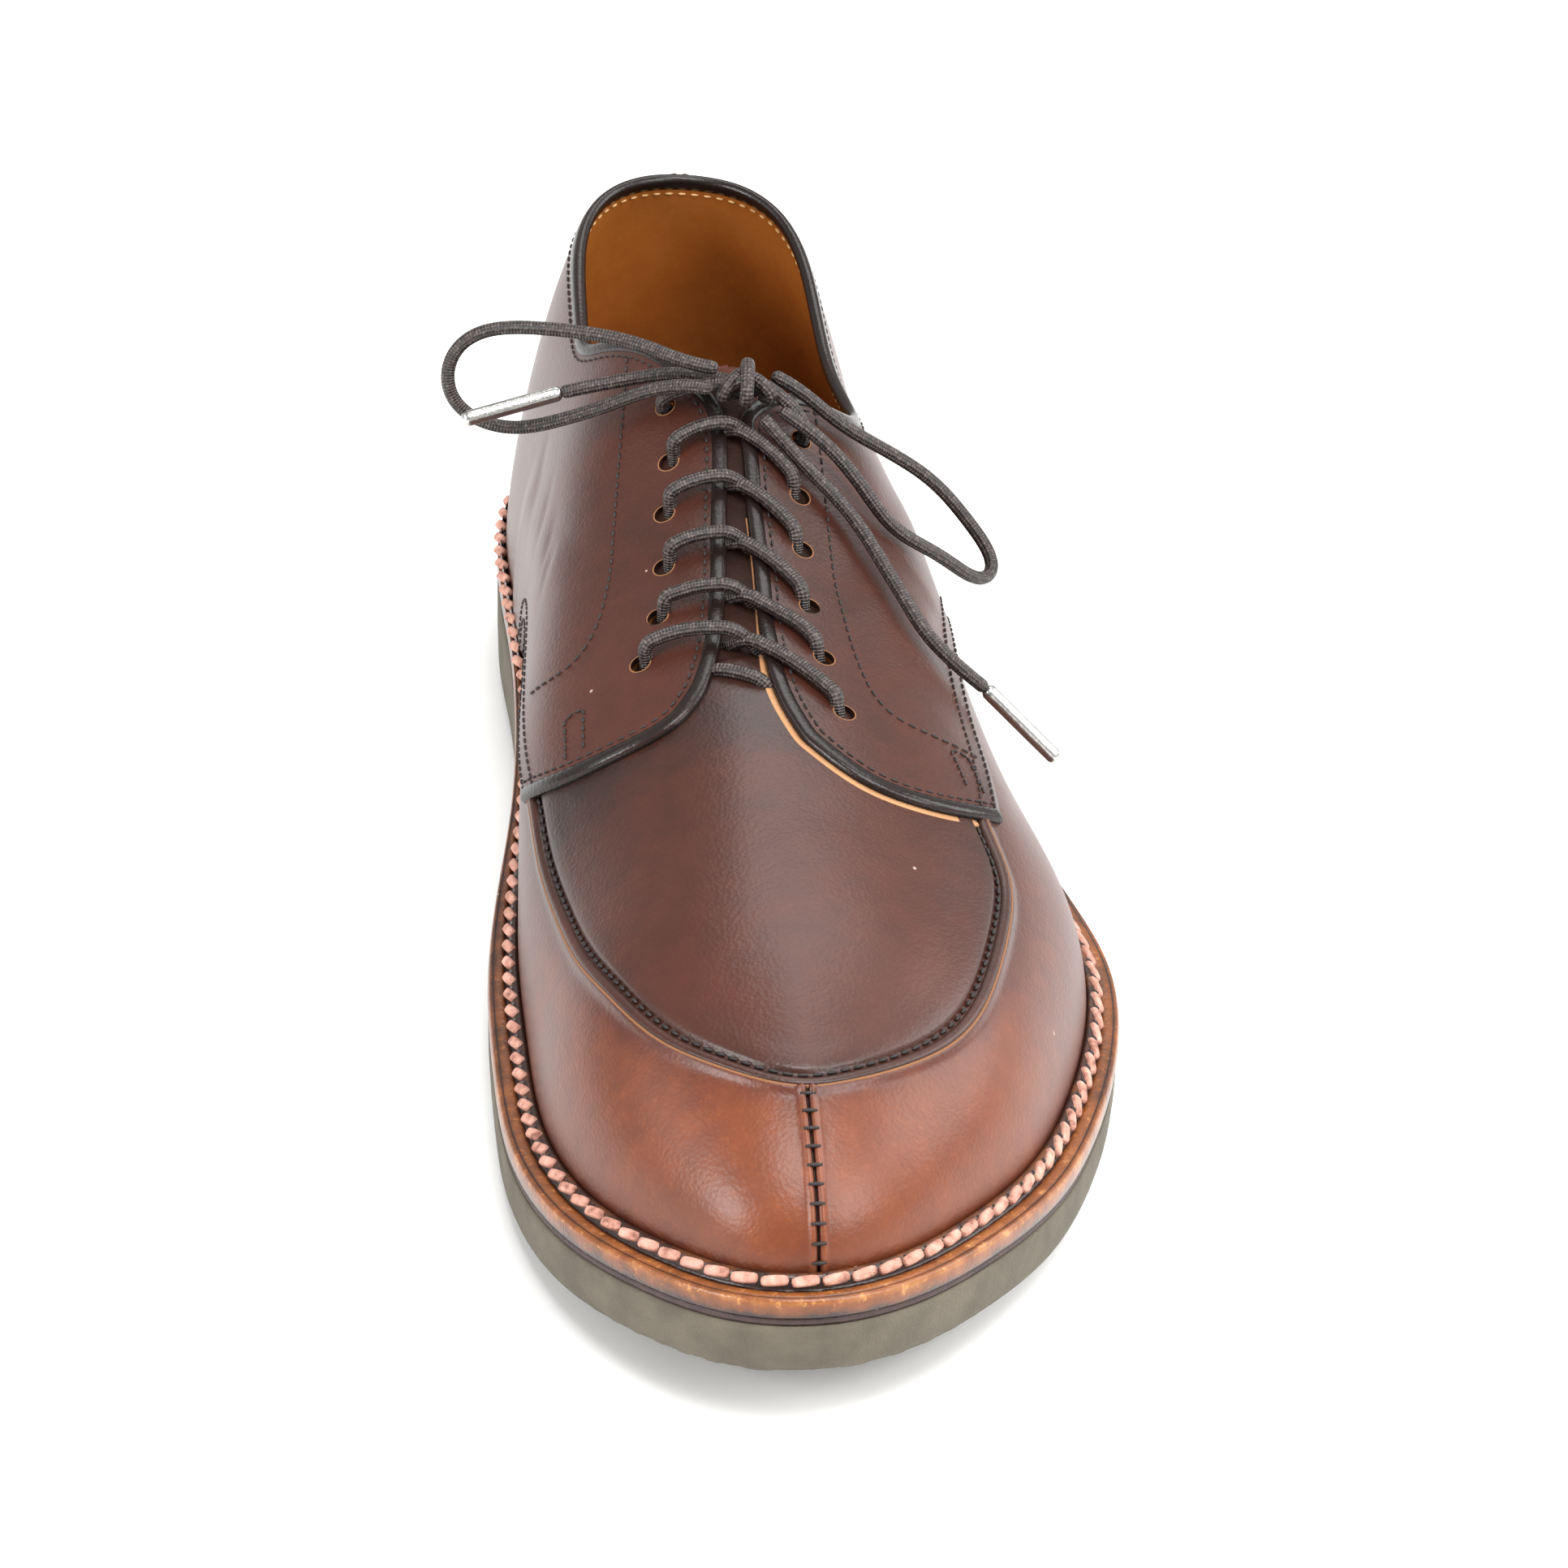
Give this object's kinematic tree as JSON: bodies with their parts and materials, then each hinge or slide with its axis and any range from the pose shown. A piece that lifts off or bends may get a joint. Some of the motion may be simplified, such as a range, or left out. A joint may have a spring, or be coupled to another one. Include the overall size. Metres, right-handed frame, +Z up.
{
  "type": "apron toe derby",
  "caption": "Left derby shoe with an apron seam, a split toe seam, open lacing and a welted one-piece wedge sole.",
  "frame": {"origin": "on the floor, at the centre of the sole's length and width", "axes": "+Y from toe to heel, +X to the outer side of the foot, +Z up"},
  "size_m": [0.1147, 0.3, 0.1013],
  "materials": {
    "olive_rubber": "matt foam rubber, fine grain",
    "dark_midsole": "dark dyed leather edge",
    "amber_welt": "waxed amber brown leather",
    "tan_insole": "smooth orange tan leather",
    "brown_leather": "waxy brown leather, lighter at the toe",
    "dark_tongue": "soft dark brown leather",
    "waxed_lace": "round waxed cord, dark brown with light flecks",
    "lace_metal": "bright metal tip"
  },
  "bodies": {
    "root": {"outsole": "olive_rubber", "midsole": "dark_midsole", "welt": "amber_welt", "insole": "tan_insole", "upper": "brown_leather", "tongue": "dark_tongue", "lace_arm_outer": "waxed_lace", "lace_arm_inner": "waxed_lace", "lace_row_2": "waxed_lace", "lace_row_3": "waxed_lace", "lace_row_4": "waxed_lace", "lace_row_5": "waxed_lace", "lace_row_6": "waxed_lace", "lace_knot": "waxed_lace", "lace_loop_medial": "waxed_lace", "lace_loop_lateral": "waxed_lace", "lace_end_medial": "waxed_lace", "lace_end_lateral": "waxed_lace", "aglet_medial": "lace_metal", "aglet_lateral": "lace_metal"}
  },
  "joints": []
}
